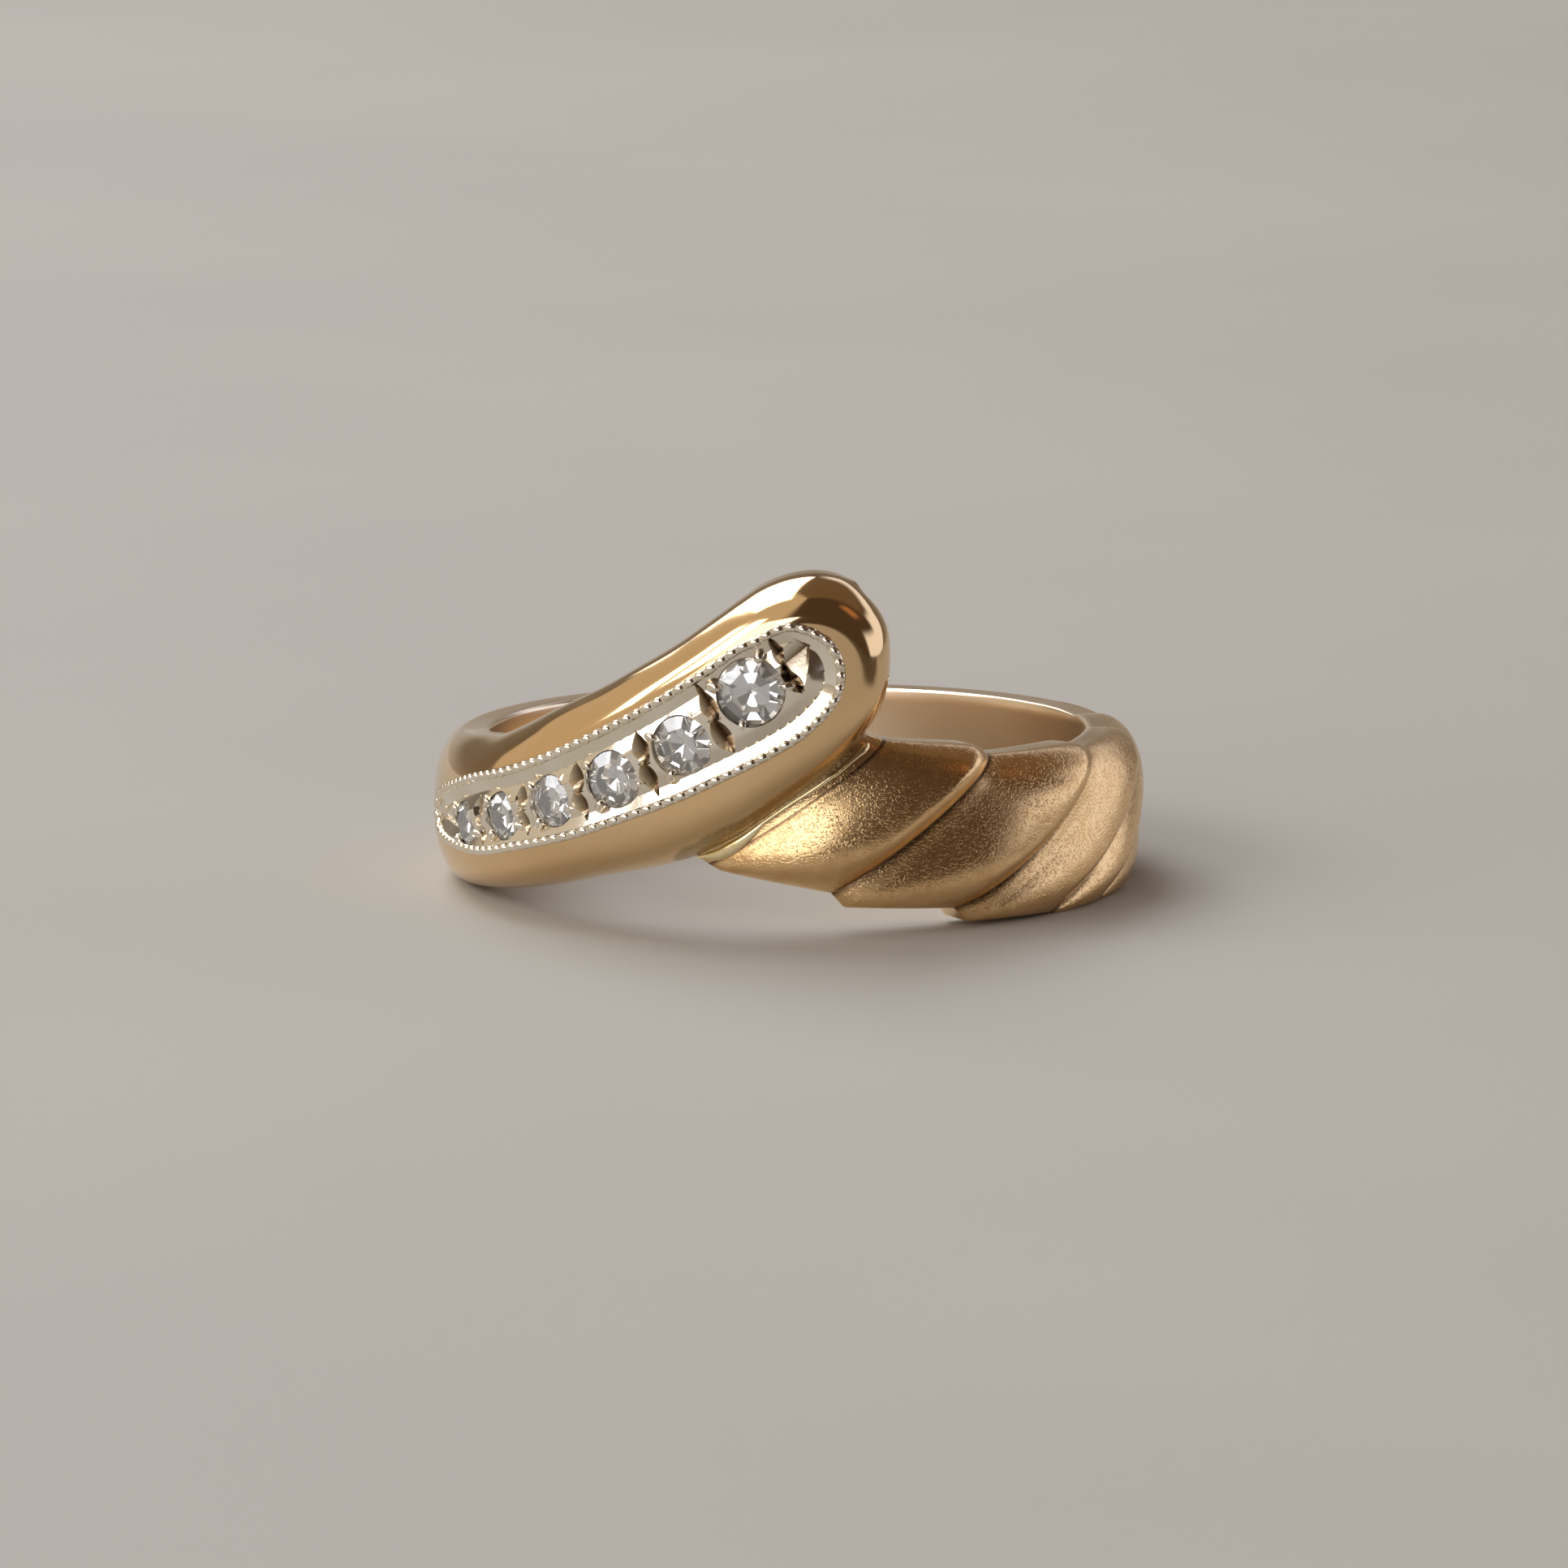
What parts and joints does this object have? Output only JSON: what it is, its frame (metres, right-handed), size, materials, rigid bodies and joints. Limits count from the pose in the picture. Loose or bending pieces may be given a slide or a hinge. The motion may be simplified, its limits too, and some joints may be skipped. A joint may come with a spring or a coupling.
{
  "type": "twisted shank ring",
  "caption": "Bypass finger ring: a polished arm with a paddle head laid over a fluted arm, with an inlaid plate of graduated round stones.",
  "frame": {"origin": "centre of the finger hole in the plane that the ring lies on, its lower rim", "axes": "+Z along the finger axis, up through the ring as it lies on its side; -Y towards the head, +X to the right hand of someone looking at the head"},
  "size_m": [0.02, 0.0207, 0.01],
  "materials": {
    "yellow_gold": "polished, satin on the fluted arm",
    "white_gold": "polished and bright cut",
    "diamond": "faceted and polished"
  },
  "bodies": {
    "root": {"band": "yellow_gold", "setting_plate": "white_gold", "diamond_1": "diamond", "diamond_2": "diamond", "diamond_3": "diamond", "diamond_4": "diamond", "diamond_5": "diamond", "diamond_6": "diamond"}
  },
  "joints": []
}
